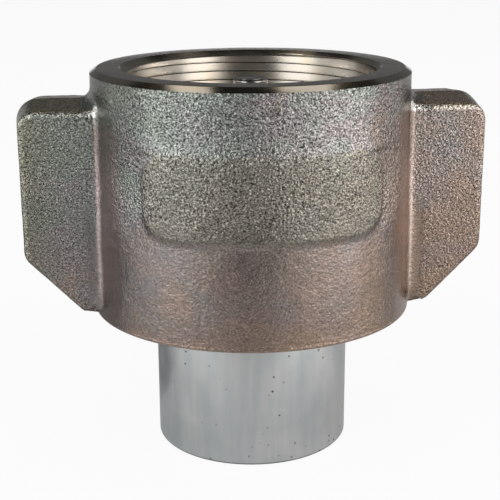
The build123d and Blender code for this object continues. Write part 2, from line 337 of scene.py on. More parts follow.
class Nodes:
    """A material's node tree, with short ways to add what the materials below share."""

    def __init__(self, name):
        self.material = bpy.data.materials.new(name)
        self.material.use_nodes = True
        self.tree = self.material.node_tree
        self.shader = self.tree.nodes["Principled BSDF"]
        place = self.add("ShaderNodeTexCoord")
        scale = self.add("ShaderNodeVectorMath", operation="SCALE")
        self.link(place.outputs["Object"], scale.inputs[0])
        scale.inputs["Scale"].default_value = 1 / MM
        self.place = scale.outputs[0]  # in millimetres

    def add(self, kind, **settings):
        node = self.tree.nodes.new(kind)
        for key, value in settings.items():
            setattr(node, key, value)
        return node

    def link(self, a, b):
        self.tree.links.new(a, b)

    def put(self, value, socket):
        """Links an output, or sets a number or a colour of three numbers."""
        if isinstance(value, bpy.types.NodeSocket):
            self.link(value, socket)
        else:
            socket.default_value = (*value, 1) if isinstance(value, tuple) else value

    def math(self, operation, a, b=0.0, c=0.0):
        node = self.add("ShaderNodeMath", operation=operation)
        self.put(a, node.inputs[0])
        self.put(b, node.inputs[1])
        self.put(c, node.inputs[2])
        return node.outputs[0]

    def product(self, first, *others):
        for other in others:
            first = self.math("MULTIPLY", first, other)
        return first

    def noise(self, size, detail=2.0, roughness=0.5, at=None, distortion=0.0):
        """Noise whose features are about this many millimetres across."""
        node = self.add("ShaderNodeTexNoise")
        self.link(at or self.place, node.inputs["Vector"])
        node.inputs["Scale"].default_value = 1 / size
        node.inputs["Detail"].default_value = detail
        node.inputs["Roughness"].default_value = roughness
        node.inputs["Distortion"].default_value = distortion
        return node.outputs["Fac"]

    def cells(self, size):
        """Distance to the nearest of points about this many millimetres apart."""
        node = self.add("ShaderNodeTexVoronoi")
        self.link(self.place, node.inputs["Vector"])
        node.inputs["Scale"].default_value = 1 / size
        return node.outputs["Distance"]

    def span(self, value, low, high, to_low=0.0, to_high=1.0, smooth=True):
        """Maps a value from one span to another, clamped. With low above high, the share falls."""
        node = self.add("ShaderNodeMapRange", interpolation_type="SMOOTHSTEP" if smooth else "LINEAR")
        self.put(value, node.inputs["Value"])
        ends = {"From Min": low, "From Max": high, "To Min": to_low, "To Max": to_high}
        for key, number in ends.items():
            self.put(number, node.inputs[key])
        return node.outputs["Result"]

    def stretched(self, x, y, z):
        """The place, with each axis multiplied."""
        node = self.add("ShaderNodeVectorMath", operation="MULTIPLY")
        self.link(self.place, node.inputs[0])
        node.inputs[1].default_value = (x, y, z)
        return node.outputs[0]

    def parts(self):
        """The place's x, y and z."""
        node = self.add("ShaderNodeSeparateXYZ")
        self.link(self.place, node.inputs[0])
        return node.outputs

    def radius(self):
        """Distance from the union's axis, in millimetres."""
        x, y, _ = self.parts()
        return self.math("SQRT", self.math("ADD", self.product(x, x), self.product(y, y)))

    def ramp(self, value, stops):
        node = self.add("ShaderNodeValToRGB")
        self.put(value, node.inputs[0])
        points = node.color_ramp.elements
        while len(points) < len(stops):
            points.new(0.5)
        for point, (place, colour) in zip(points, stops):
            point.position = place
            point.color = (*colour, 1)
        return node.outputs["Color"]

    def mix(self, share, a, b):
        node = self.add("ShaderNodeMix", data_type="RGBA")
        self.put(share, node.inputs[0])
        self.put(a, node.inputs[6])
        self.put(b, node.inputs[7])
        return node.outputs[2]

    def scaled(self, colour, factor):
        """A colour made lighter or darker."""
        node = self.add("ShaderNodeVectorMath", operation="SCALE")
        self.link(colour, node.inputs[0])
        self.put(factor, node.inputs["Scale"])
        return node.outputs[0]

    def bump(self, height, depth, strength=1.0):
        """The normal of a bump of this depth in millimetres."""
        node = self.add("ShaderNodeBump")
        self.put(height, node.inputs["Height"])
        node.inputs["Distance"].default_value = depth * MM
        node.inputs["Strength"].default_value = strength
        return node.outputs["Normal"]

    def finish(self, colour, rough, normal, metallic=1.0):
        self.put(colour, self.shader.inputs["Base Color"])
        self.put(rough, self.shader.inputs["Roughness"])
        self.put(normal, self.shader.inputs["Normal"])
        self.put(metallic, self.shader.inputs["Metallic"])
        return self.material


def srgb(r, g, b):
    """A colour as it looks on a screen, 10 to 255, in the linear numbers that a shader takes."""
    return tuple(((v / 255 + 0.055) / 1.055) ** 2.4 for v in (r, g, b))


# ---- The nut's coat ----
# Where each region starts and where it is complete, in millimetres.
RIGHT_HALF = (-5.0, 5.0)
PAD_FACE = (0.3, 0.6)  # out of the barrel
PAD_SIDES = (29.0, 28.0)
STRIP_START = (28.5, 31.0)  # of the smooth strips beside the lugs, which also carry a painted highlight
SIDE_START = (20.5, 26.0)  # of the painted shade on the barrel's sides, to each side of a middle of their own
SIDE_MIDDLE = -1.2
SIDE_HEIGHT = (62.0, 73.0)
GRAIN_HEIGHT = (52.0, 62.0)
SHADE_HEIGHT = (45.0, 75.0)
# How strong each is, as a share unless it says otherwise.
LOWER_GRAIN = 0.40
LUG_GRAIN = 0.85
STRIP_CALM = 0.6  # how much less grain the strips have
SPECKLE = 5.2  # contrast of the grain's light and dark, as a multiple of the noise's own
SIDE_SHADE = 0.36  # how much painted shade darkens the barrel's sides
LOWER_SHADE = 0.94  # how bright the nut is at the lower height
GRAIN_DEPTH = 0.26  # of its bump, in millimetres


def nut_regions(n, x, y, z):
    """How far a point belongs to each region of the nut where the coat differs, as shares. Several are
    painted light: highlights on the lugs' tops, top edges and roots and on the strips beside them, and shade
    on the barrel's sides.
    """
    out = n.math("ABSOLUTE", x)
    wall = n.span(z, NUT_FOOT, RIM_BOTTOM, FOOT_RADIUS, SHOULDER_RADIUS, smooth=False)
    stand = n.math("SUBTRACT", n.radius(), wall)
    undrafted = n.math("MULTIPLY_ADD", n.math("ABSOLUTE", y), LUG_DRAFT, z)
    off_middle = n.math("ABSOLUTE", n.math("SUBTRACT", x, SIDE_MIDDLE))
    strip = n.product(n.span(out, *STRIP_START), n.span(out, LUG_ROOT - 0.4, LUG_ROOT - 1.6))
    # Painted highlight: a band along each lug's near top edge.
    edge = n.product(
        n.span(z, LUG_TOP - 2.8, LUG_TOP - 2.1),
        n.span(z, LUG_TOP - 0.2, LUG_TOP - 0.7),
        n.span(y, 1.5 - LUG_HALF, 0.8 - LUG_HALF),
        n.span(out, LUG_ROOT - 2.5, LUG_ROOT - 1.5),
    )
    grain = n.math(
        "MAXIMUM",
        n.span(z, *GRAIN_HEIGHT, LOWER_GRAIN, 1.0),
        n.span(out, LUG_ROOT, LUG_ROOT + 2.0, 0.0, LUG_GRAIN),
    )
    return {
        "pad": n.product(n.span(stand, *PAD_FACE), n.span(out, *PAD_SIDES)),
        "left_lug_end": n.span(x, -40.0, -LUG_REACH),
        "strip": strip,
        # Painted highlight on the root fillets beside the lugs, below the lugs' tops.
        "strip_highlight": n.product(strip, n.span(z, LUG_TOP - 0.4, LUG_TOP - 6.4)),
        "lug_edge": edge,
        # Painted highlight: near white where a lug's top edge meets its root fillet.
        "lug_root_highlight": n.product(edge, n.span(out, LUG_ROOT + 3.0, LUG_ROOT + 1.0)),
        # Painted light: the lugs' top faces lighter and warmer, more so on the right.
        "lug_top_light": n.product(
            n.span(undrafted, LUG_TOP - 0.4, LUG_TOP - 0.1), n.span(out, LUG_ROOT + 0.5, LUG_ROOT + 2.0)
        ),
        # Painted shade where the barrel turns away to its sides.
        "barrel_side_shade": n.product(
            n.span(off_middle, *SIDE_START), n.span(out, LUG_ROOT, LUG_ROOT - 2.0), n.span(z, *SIDE_HEIGHT)
        ),
        "grain": n.math("MULTIPLY", grain, n.math("MULTIPLY_ADD", strip, -STRIP_CALM, 1.0)),
    }


def drifting_film(n, x, z, flecks):
    """The thin coat's colour over the whole nut, in soft patches."""
    patches = n.noise(10.0, 3.0, 0.5, distortion=0.3)
    drift = n.math("MULTIPLY_ADD", x, 0.005, n.math("MULTIPLY_ADD", z, -0.0105, 0.68))
    tint = n.math("MULTIPLY_ADD", patches, 0.85, n.math("MULTIPLY_ADD", flecks, 0.15, drift))
    return n.ramp(
        tint,
        [
            (0.10, srgb(136, 141, 132)),
            (0.30, srgb(137, 141, 136)),
            (0.46, srgb(145, 140, 140)),
            (0.62, srgb(151, 140, 134)),
            (0.80, srgb(157, 139, 129)),
            (0.95, srgb(159, 139, 124)),
        ],
    )


def forged_zinc():
    """Shot-blasted forging with a thin, iridescent zinc coat: greenish above, rosier below and right.

    The coat is also lighter or darker by place: its own colour on the pad, painted shade on the barrel's
    sides, and painted highlights on the strips beside the lugs and on the lugs' tops and top edges, lighter
    on the right.
    """
    n = Nodes("forged_zinc")
    x, y, z = n.parts()
    region = nut_regions(n, x, y, z)
    # The right half takes the lighter tints below: painted light, as the right side is lit more brightly.
    on_right = n.span(x, *RIGHT_HALF)
    flecks = n.noise(1.3, 2.0, 0.6)
    grit = n.noise(0.38, 2.0, 0.65)
    film = drifting_film(n, x, z, flecks)
    for name, most, left, right in (
        ("pad", 0.8, (130, 127, 116), None),
        ("left_lug_end", 0.6, (136, 132, 112), None),
        # Painted highlight on the strips beside the lugs, brighter on the right.
        ("strip_highlight", 0.85, (168, 153, 149), (192, 171, 160)),
        # lug_edge: a painted highlight along the lugs' near top edges, brighter on the right lug.
        ("lug_edge", 1.0, (166, 168, 158), (204, 194, 182)),
        # A near-white painted highlight where the lug's top edge meets the barrel.
        ("lug_root_highlight", 1.0, (240, 238, 232), None),
        # Painted light on the lugs' top faces, brighter on the right lug.
        ("lug_top_light", 1.0, (160, 152, 132), (184, 164, 146)),
    ):
        tint = n.mix(on_right, srgb(*left), srgb(*right)) if right else srgb(*left)
        film = n.mix(n.math("MULTIPLY", region[name], most), film, tint)
    speckle = n.math(
        "MULTIPLY_ADD", n.math("SUBTRACT", grit, 0.5), n.math("MULTIPLY", region["grain"], SPECKLE), 0.92
    )
    # The grain's light and dark speckle, a darkening low on the nut, and painted shade on the barrel's
    # sides.
    shade = n.product(
        n.span(speckle, 0.1, 2.0, 0.1, 2.0, smooth=False),
        n.span(z, *SHADE_HEIGHT, LOWER_SHADE, 1.0),
        n.math("MULTIPLY_ADD", region["barrel_side_shade"], -SIDE_SHADE, 1.0),
    )
    dents = n.math("ADD", n.math("MULTIPLY", grit, 0.8), n.math("MULTIPLY", n.cells(0.75), 0.5))
    normal = n.bump(n.math("MULTIPLY", region["grain"], dents), GRAIN_DEPTH)
    return n.finish(n.scaled(film, shade), n.span(flecks, 0.3, 0.7, 0.19, 0.26), normal)


def machined_zinc():
    """Turned steel under the same thin coat: fine rings, and darker where it was cut."""
    n = Nodes("machined_zinc")
    rings = n.add("ShaderNodeCombineXYZ")
    n.link(n.radius(), rings.inputs[0])
    n.link(n.parts()[2], rings.inputs[2])
    cut = n.noise(0.16, 1.0, 0.5, at=rings.outputs[0])
    film = n.noise(9.0, 2.0, 0.5)
    colour = n.ramp(
        film, [(0.30, srgb(152, 146, 139)), (0.55, srgb(166, 158, 146)), (0.75, srgb(170, 156, 133))]
    )
    in_thread = n.span(n.radius(), 30.0, 27.5, 0.0, 0.14)
    rough = n.math("ADD", n.span(film, 0.3, 0.7, 0.11, 0.18), in_thread)
    return n.finish(colour, rough, n.bump(cut, 0.02, 0.5))


def clear_zinc():
    """Turned steel with a pale blue zinc coat, faintly streaked and pitted, with painted shade at the foot's
    edge.
    """
    n = Nodes("clear_zinc")
    streaks = n.noise(2.0, 3.0, 0.55, at=n.stretched(1, 1, 0.10))
    clouds = n.noise(7.0, 2.0, 0.5)
    film = n.math("ADD", n.math("MULTIPLY", streaks, 0.6), n.math("MULTIPLY", clouds, 0.4))
    colour = n.ramp(
        film, [(0.32, srgb(182, 188, 191)), (0.50, srgb(193, 196, 197)), (0.70, srgb(203, 204, 203))]
    )
    in_patches = n.span(n.noise(7.0, 1.0), 0.48, 0.58)
    pits = n.math("MULTIPLY", n.span(n.cells(2.2), 0.08, 0.16, 1.0, 0.0), in_patches)
    # Painted shade: the foot's chamfer darker where it meets the floor.
    painted_foot_shade = n.span(n.parts()[2], 0.7, 0.2)
    colour = n.mix(pits, colour, srgb(88, 92, 94))
    colour = n.mix(painted_foot_shade, colour, srgb(110, 112, 114))
    height = n.math("SUBTRACT", n.math("MULTIPLY", n.noise(0.5, 2.0, 0.5), 0.25), pits)
    return n.finish(colour, n.span(clouds, 0.3, 0.7, 0.30, 0.40), n.bump(height, 0.06, 0.6))


def ground_steel():
    """Hard, ground steel of the poppet."""
    n = Nodes("ground_steel")
    grain = n.noise(0.12, 2.0, 0.5, at=n.stretched(1, 1, 6))
    cloud = n.noise(3.0, 2.0)
    colour = n.ramp(cloud, [(0.3, srgb(158, 156, 152)), (0.7, srgb(186, 184, 180))])
    return n.finish(colour, n.span(cloud, 0.3, 0.7, 0.18, 0.28), n.bump(grain, 0.01, 0.5))


def plain(name, size, dark, pale, smooth, rough, depth, strength=0.5, metallic=1.0):
    """An even material whose grain, about this many millimetres across, varies its colour and roughness."""
    n = Nodes(name)
    grain = n.noise(size, 3.0, 0.6)
    colour = n.ramp(grain, [(0.3, srgb(*dark)), (0.7, srgb(*pale))])
    normal = n.bump(grain, depth, strength)
    return n.finish(colour, n.span(grain, 0.3, 0.7, smooth, rough), normal, metallic)


def dark_spring_steel():
    """Phosphated spring steel."""
    return plain("dark_spring_steel", 0.3, (62, 62, 64), (92, 92, 94), 0.38, 0.52, 0.03, metallic=0.9)


def bearing_bronze():
    """Plain bronze of the thrust washer."""
    return plain("bearing_bronze", 0.4, (168, 132, 84), (190, 154, 104), 0.30, 0.42, 0.02)


def seal_rubber():
    """Moulded nitrile."""
    return plain(
        "seal_rubber", 0.35, (22, 22, 23), (38, 38, 39), 0.42, 0.55, 0.02, strength=0.6, metallic=0.0
    )


def backup_plastic():
    """Moulded backup ring, off white."""
    return plain("backup_plastic", 0.6, (214, 209, 196), (232, 228, 218), 0.45, 0.58, 0.02, metallic=0.0)


MATERIALS = {
    "nut_forging": forged_zinc(),
    "body_steel": clear_zinc(),
    "poppet_steel": ground_steel(),
    "guide_steel": machined_zinc(),
    "spring_steel": dark_spring_steel(),
    "washer_bronze": bearing_bronze(),
    "seal_rubber": seal_rubber(),
    "backup_plastic": backup_plastic(),
}


def dress(piece, material, body, replaces):
    """Gives a piece its material and body, and hides the CAD node that it stands for."""
    piece.data.materials.clear()
    piece.data.materials.append(material)
    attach(piece, body)
    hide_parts(replaces)
    return piece


# ---- The nut's forged skin ----
VOXEL = 0.5
SKIN_TOP = NUT_TOP - 1.05  # the turned chamfer is flatter than 45 degrees
SKIN_FOOT = NUT_FOOT + FOOT_ROUND + 0.02
BARREL_TAPER = (FOOT_RADIUS - SHOULDER_RADIUS) / (RIM_BOTTOM - NUT_FOOT)


def barrel_radius(height):
    return FOOT_RADIUS - BARREL_TAPER * (height - NUT_FOOT)


def outer_block():
    """The nut's outer faces, closed at the top above the rim and at the foot, in millimetres."""
    bm = bmesh.new()
    bm.from_mesh(frame["nodes"]["wing_nut"].data)
    bmesh.ops.scale(bm, vec=Vector((1 / MM, 1 / MM, 1 / MM)), verts=bm.verts)
    bmesh.ops.remove_doubles(bm, verts=bm.verts, dist=0.001)

    def machined(face):
        inside = all(v.co.xy.length < RELIEF_RADIUS + LEAD_IN for v in face.verts)
        return inside or all(v.co.z > RIM_BOTTOM - TOUCH for v in face.verts)

    def under(face):
        return all(v.co.z < NUT_FOOT + TOUCH for v in face.verts)

    gone = [f for f in bm.faces if machined(f) or under(f)]
    bmesh.ops.delete(bm, geom=gone, context="FACES")
    rim = [e for e in bm.edges if e.is_boundary and e.verts[0].co.z > RIM_BOTTOM - TOUCH]
    raised = bmesh.ops.extrude_edge_only(bm, edges=rim)["geom"]
    for vert in (g for g in raised if isinstance(g, bmesh.types.BMVert)):
        vert.co.z += 4 * VOXEL
    bmesh.ops.holes_fill(bm, edges=[e for e in bm.edges if e.is_boundary])
    bmesh.ops.triangulate(bm, faces=bm.faces)
    return bm


def remeshed(bm, voxel):
    """The block with even quads one voxel across, as a new bmesh in millimetres."""
    block = new_object("nut_block", bm)
    modifier = block.modifiers.new("even_quads", "REMESH")
    modifier.mode = "VOXEL"
    modifier.voxel_size = voxel * MM
    modifier.adaptivity = 0
    depsgraph = bpy.context.evaluated_depsgraph_get()
    made = bpy.data.meshes.new_from_object(block.evaluated_get(depsgraph))
    even = bmesh.new()
    even.from_mesh(made)
    bmesh.ops.scale(even, vec=Vector((1 / MM, 1 / MM, 1 / MM)), verts=even.verts)
    bpy.data.objects.remove(block)
    bpy.data.meshes.remove(made)
    return even


SWELL_BOTTOM = NUT_TOP - 14.4  # just under the pad's upper edge
SWELL_HEIGHT = 5.0
SWELL_STAND = 0.65
SWELL_HALF = 27.0  # its half width, and the width over which each end of it fades
SWELL_FADE = 4.0


def pad_swell(p):
    """How far the barrel stands out above the pad at a point."""
    up = (p.z - SWELL_BOTTOM) / SWELL_HEIGHT
    side = min(1.0, max(0.0, (SWELL_HALF - abs(p.x)) / SWELL_FADE))
    return SWELL_STAND * (1 - up) ** 2 * side if p.y < 0 and 0 < up < 1 else 0.0


def lug_edge(x, y, z):
    """How far a point is out from a lug's drafted outline, and the way out. The heel has no draft."""
    end = LUG_REACH - LUG_CORNER
    rise = (LUG_CORNER * math.cos(LUG_SLOPE) - LUG_CORNER) / math.sin(LUG_SLOPE)
    corners = ((0, math.pi / 2, LUG_TOP - LUG_CORNER), (LUG_SLOPE, 0, LUG_END_BOTTOM + rise))
    for low, high, centre in corners:
        way = math.atan2(z - centre, x - end)
        if low <= way <= high:
            out = math.hypot(x - end, z - centre) - LUG_CORNER
            return out + y * LUG_DRAFT, math.cos(way), math.sin(way)
    sloping = (x - LUG_REACH) * math.cos(LUG_SLOPE) + (z - LUG_END_BOTTOM) * math.sin(LUG_SLOPE)
    return max(
        (z - LUG_TOP + y * LUG_DRAFT, 0, 1),
        (x - LUG_REACH + y * LUG_DRAFT, 1, 0),
        (LUG_HEEL - z, 0, -1),
        (sloping + y * LUG_DRAFT, math.cos(LUG_SLOPE), math.sin(LUG_SLOPE)),
    )


CRISP_START = 37.5  # how far out the lug's edges start to be tighter, and over how far they get so
CRISP_FADE = 1.5
HEEL_START = 35.2  # the same for the heel, which is what lies below a height
HEEL_FADE = 1.6
HEEL_TOP = 38.0
CRISP_DEPTH = 1.8  # points deeper inside the outline than this stay where they are


def crisper(p):
    """Where a point on a lug goes to give its edges a tighter round, and its heel a lower underside."""
    x, y = abs(p.x), abs(p.y)
    on_lug = (x - CRISP_START) / CRISP_FADE
    on_heel = min((x - HEEL_START) / HEEL_FADE, HEEL_TOP - p.z)
    share = min(1.0, max(0.0, on_lug, on_heel))
    if not share:
        return p
    out, way_x, way_z = lug_edge(x, y, p.z)
    up, across = out + LUG_EDGE, y - LUG_HALF + LUG_EDGE
    if up > 0 and across > 0:
        depth = math.hypot(up, across) - LUG_EDGE
        way = Vector((way_x * up, across, way_z * up)).normalized()
    else:
        depth = max(up, across) - LUG_EDGE
        way = Vector((way_x, 0, way_z)) if up > across else Vector((0, 1, 0))
    if not -CRISP_DEPTH < depth < 0:
        return p
    way.x, way.y = math.copysign(way.x, p.x), math.copysign(way.y, p.y)
    return p - way * depth * share


FORGED_WAVES = ((9.0, 0.10), (3.1, 0.05), (1.1, 0.035))  # how long, and how high
WAVES_SUNK = 0.03  # so that they stay inside the CAD's faces on the whole
WAVES_FADE = 2.0  # height over which they calm down to the machined rim and foot


def forge(bm):
    """Swells the barrel above the pad, sharpens the lugs, and gives the skin a forging's waves and grain."""
    for vert in bm.verts:
        swell = pad_swell(vert.co)
        wanted = barrel_radius(vert.co.z) + swell
        if swell and vert.co.xy.length < wanted:
            vert.co.xy = vert.co.xy.normalized() * wanted
    every_axis = {"use_axis_x": True, "use_axis_y": True, "use_axis_z": True}
    for _ in range(2):
        bmesh.ops.smooth_vert(bm, verts=bm.verts, factor=0.5, **every_axis)
    for vert in bm.verts:
        vert.co = crisper(vert.co)
    bm.normal_update()
    moves = []
    for vert in bm.verts:
        p = vert.co
        waves = sum(noise.noise(p / length) * height for length, height in FORGED_WAVES)
        inside = min(SKIN_TOP - p.z, p.z - SKIN_FOOT)
        calm = min(1.0, max(0.0, inside / WAVES_FADE))
        moves.append(vert.normal * ((waves - WAVES_SUNK) * calm))
    for vert, move in zip(bm.verts, moves):
        vert.co += move
        vert.co.x = min(max(vert.co.x, -LUG_REACH), LUG_REACH)


def closed_inside(bm):
    """Cuts the skin off at the rim and the foot, and closes it with a wall inside the metal."""
    for height, up in ((SKIN_TOP, 1), (SKIN_FOOT, -1)):
        bmesh.ops.bisect_plane(
            bm,
            geom=bm.verts[:] + bm.edges[:] + bm.faces[:],
            plane_co=(0, 0, height),
            plane_no=(0, 0, up),
            clear_outer=True,
        )
    inner = []
    for height in (SKIN_TOP, SKIN_FOOT):
        loop = [e for e in bm.edges if e.is_boundary and abs(e.verts[0].co.z - height) < TOUCH]
        for vert in {v for e in loop for v in e.verts}:
            vert.co.xy = vert.co.xy.normalized() * barrel_radius(min(height, RIM_BOTTOM))
        made = bmesh.ops.extrude_edge_only(bm, edges=loop)["geom"]
        for vert in (g for g in made if isinstance(g, bmesh.types.BMVert)):
            vert.co.xy = vert.co.xy.normalized() * SKIN_INNER_RADIUS
        inner += [g for g in made if isinstance(g, bmesh.types.BMEdge) and g.is_boundary]
    bmesh.ops.bridge_loops(bm, edges=inner)
    bmesh.ops.recalc_face_normals(bm, faces=bm.faces)


def nut_skin():
    bm = remeshed(outer_block(), VOXEL)
    forge(bm)
    closed_inside(bm)
    return new_object("nut_forged_skin", bm, 60)


# ---- The nut's machined inside ----


def nut_thread_radius(height, turns):
    lead_in = THREAD_MINOR + max(0.0, height - LEAD_IN_BOTTOM)
    return max(THREAD_MINOR + union_depth(turns) * THREAD_PITCH, lead_in)


def nut_core():
    """Rim, thread, web and ring pocket, as one turned piece inside the forged skin."""
    web_chamfer = 0.5
    thread_bottom = NUT_TOP - THREAD_LENGTH
    outline = [
        (THREAD_MINOR + LEAD_IN + 0.05, NUT_TOP),
        (barrel_radius(RIM_BOTTOM) - RIM_CHAMFER, NUT_TOP, 0.15),
        (barrel_radius(RIM_BOTTOM), SKIN_TOP),
        (SKIN_INNER_RADIUS, SKIN_TOP),
        (SKIN_INNER_RADIUS, SKIN_FOOT),
        (barrel_radius(SKIN_FOOT), SKIN_FOOT),
        (barrel_radius(NUT_FOOT), NUT_FOOT, FOOT_ROUND),
        (POCKET_RADIUS, NUT_FOOT, 0.2),
        (POCKET_RADIUS, RING_TOP),
        (WEB_RADIUS + web_chamfer, RING_TOP),
        (WEB_RADIUS, RING_TOP + web_chamfer, 0.1),
        (WEB_RADIUS, WASHER_BOTTOM - web_chamfer, 0.1),
        (WEB_RADIUS + web_chamfer, WASHER_BOTTOM),
        (RELIEF_RADIUS, WASHER_BOTTOM),
        (RELIEF_RADIUS, thread_bottom),
    ]
    return threaded("nut_machined_core", outline, thread_bottom, NUT_TOP, THREAD_PITCH, nut_thread_radius)


# ---- The coupler body ----


def pipe_thread_radius(height, turns):
    mouth = PORT_RADIUS + max(0.0, PORT_CHAMFER - height)
    wall = PORT_RADIUS + PIPE_TAPER * (PIPE_THREAD_LENGTH - height)
    return max(wall - PIPE_CREST_STAND + thread_depth(turns) * PIPE_PITCH, mouth)


def body():
    """The turned body, with the pipe thread in its port."""
    outline = [
        (PORT_RADIUS, PIPE_THREAD_LENGTH),
        (PORT_RADIUS, PORT_DEPTH),
        (GUIDE_BORE_RADIUS, PORT_DEPTH, 0.1),
        (GUIDE_BORE_RADIUS, CIRCLIP_BOTTOM),
        (GUIDE_BORE_RADIUS + CIRCLIP_GROOVE, CIRCLIP_BOTTOM),
        (GUIDE_BORE_RADIUS + CIRCLIP_GROOVE, GUIDE_BOTTOM + GROOVE_PLAY),
        (GUIDE_BORE_RADIUS, GUIDE_BOTTOM + GROOVE_PLAY),
        (GUIDE_BORE_RADIUS, GUIDE_SHOULDER),
        (CHAMBER_RADIUS, GUIDE_SHOULDER, 0.1),
        (CHAMBER_RADIUS, SEAT_TOP - (CHAMBER_RADIUS - ORIFICE_RADIUS)),
        (ORIFICE_RADIUS, SEAT_TOP, 0.2),
        (ORIFICE_RADIUS, NOSE_TOP - ORIFICE_CHAMFER),
        (ORIFICE_RADIUS + ORIFICE_CHAMFER, NOSE_TOP, 0.1),
        (NOSE_RADIUS - BODY_CHAMFER, NOSE_TOP, 0.15),
        (NOSE_RADIUS, NOSE_TOP - BODY_CHAMFER, 0.15),
        (NOSE_RADIUS, SEAL_GROOVE_TOP, 0.15),
        (SEAL_SEAT_RADIUS, SEAL_GROOVE_TOP, 0.2),
        (SEAL_SEAT_RADIUS, BACKUP_BOTTOM, 0.2),
        (NOSE_RADIUS, BACKUP_BOTTOM, 0.15),
        (NOSE_RADIUS, FLANGE_TOP, 0.3),
        (FLANGE_RADIUS - BODY_CHAMFER, FLANGE_TOP, 0.1),
        (FLANGE_RADIUS, FLANGE_TOP - BODY_CHAMFER, 0.1),
        (FLANGE_RADIUS, FLANGE_BOTTOM + BODY_CHAMFER, 0.1),
        (FLANGE_RADIUS - BODY_CHAMFER, FLANGE_BOTTOM, 0.1),
        (TAIL_RADIUS - UNDERCUT, FLANGE_BOTTOM),
        (TAIL_RADIUS - UNDERCUT, FLANGE_BOTTOM - UNDERCUT_LENGTH + UNDERCUT),
        (TAIL_RADIUS, FLANGE_BOTTOM - UNDERCUT_LENGTH),
        (TAIL_RADIUS, RING_TOP + GROOVE_PLAY),
        (TAIL_RADIUS - RING_GROOVE, RING_TOP + GROOVE_PLAY),
        (TAIL_RADIUS - RING_GROOVE, RING_BOTTOM),
        (TAIL_RADIUS, RING_BOTTOM, 0.05),
        (TAIL_RADIUS, TAIL_CHAMFER, 0.25),
        (TAIL_RADIUS - TAIL_CHAMFER, 0.0, 0.25),
        (PORT_RADIUS + PORT_CHAMFER, 0.0, 0.1),
    ]
    length = PIPE_THREAD_LENGTH
    return threaded("coupler_turned", outline, 0.0, length, PIPE_PITCH, pipe_thread_radius)


# ---- The poppet and its spring ----


def head_cone(radius):
    """Height of the head's cone, one gap below the seat's."""
    return SEAT_TOP + ORIFICE_RADIUS - radius - SEAT_GAP


def poppet():
    back = head_cone(HEAD_RADIUS) - HEAD_EDGE_HEIGHT
    front = head_cone(HEAD_FRONT_RADIUS)
    boss = SPRING_RADIUS - WIRE_RADIUS - BOSS_PLAY
    seal_floor = head_cone(SEAL_OUTER) - SEAL_DEPTH
    outline = [
        (0, STEM_BOTTOM),
        (STEM_RADIUS - STEM_CHAMFER, STEM_BOTTOM, 0.1),
        (STEM_RADIUS, STEM_BOTTOM + STEM_CHAMFER, 0.1),
        (STEM_RADIUS, back - BOSS_HEIGHT, 0.3),
        (boss, back - BOSS_HEIGHT, 0.3),
        (boss, back, 0.2),
        (HEAD_RADIUS, back, 0.2),
        (HEAD_RADIUS, head_cone(HEAD_RADIUS), 0.2),
        (SEAL_OUTER, head_cone(SEAL_OUTER)),
        (SEAL_OUTER, seal_floor),
        (SEAL_INNER, seal_floor),
        (SEAL_INNER, head_cone(SEAL_INNER)),
        (HEAD_FRONT_RADIUS, front, 0.3),
        (TIP_RADIUS, front + HEAD_FRONT_RISE, 0.8),
        (TIP_RADIUS, TIP_TOP - TIP_CHAMFER, 0.15),
        (TIP_RADIUS - TIP_CHAMFER, TIP_TOP, 0.15),
        (0, TIP_TOP),
    ]
    return turned("poppet_turned", outline)


def coil():
    """The valve spring: a round wire on a helix, its two ends ground flat."""
    around, per_turn = 20, 48
    length = SPRING_TOP - SPRING_BOTTOM
    pitch = length / SPRING_TURNS
    turns = SPRING_TURNS + 2 * WIRE_RADIUS / pitch
    slope = math.atan2(pitch, 2 * math.pi * SPRING_RADIUS)
    bm = bmesh.new()
    rings = []
    for k in range(round(turns * per_turn) + 1):
        angle = 2 * math.pi * k / per_turn
        out = Vector((math.cos(angle), math.sin(angle), 0))
        ahead = Vector((-math.sin(angle), math.cos(angle), 0)) * math.cos(slope)
        along = ahead + Vector((0, 0, math.sin(slope)))
        up = along.cross(out) * -1
        centre = out * SPRING_RADIUS
        centre.z = SPRING_BOTTOM - WIRE_RADIUS + pitch * k / per_turn
        turn = 2 * math.pi / around
        rings.append(
            [
                bm.verts.new(centre + (out * math.cos(i * turn) + up * math.sin(i * turn)) * WIRE_RADIUS)
                for i in range(around)
            ]
        )
    for low, high in zip(rings, rings[1:]):
        skirt(bm, low, high)
    bm.faces.new(rings[0])
    bm.faces.new(rings[-1])
    for height, up in ((SPRING_BOTTOM, -1), (SPRING_TOP, 1)):
        whole = bm.verts[:] + bm.edges[:] + bm.faces[:]
        bmesh.ops.bisect_plane(
            bm, geom=whole, plane_co=(0, 0, height), plane_no=(0, 0, up), clear_outer=True
        )
        bmesh.ops.holes_fill(bm, edges=[e for e in bm.edges if e.is_boundary])
    bmesh.ops.recalc_face_normals(bm, faces=bm.faces)
    return new_object("valve_spring_wire", bm, 35)


def foot_coated(core):
    """Gives the nut's foot, outside the ring pocket, the forging's coat."""
    core.data.materials.append(MATERIALS["nut_forging"])
    points = core.data.vertices
    for face in core.data.polygons:
        highest = max(points[v].co.z for v in face.vertices) / MM
        nearest = min(points[v].co.xy.length for v in face.vertices) / MM
        if highest < SKIN_FOOT + TOUCH and nearest > POCKET_RADIUS + 0.1:
            face.material_index = 1


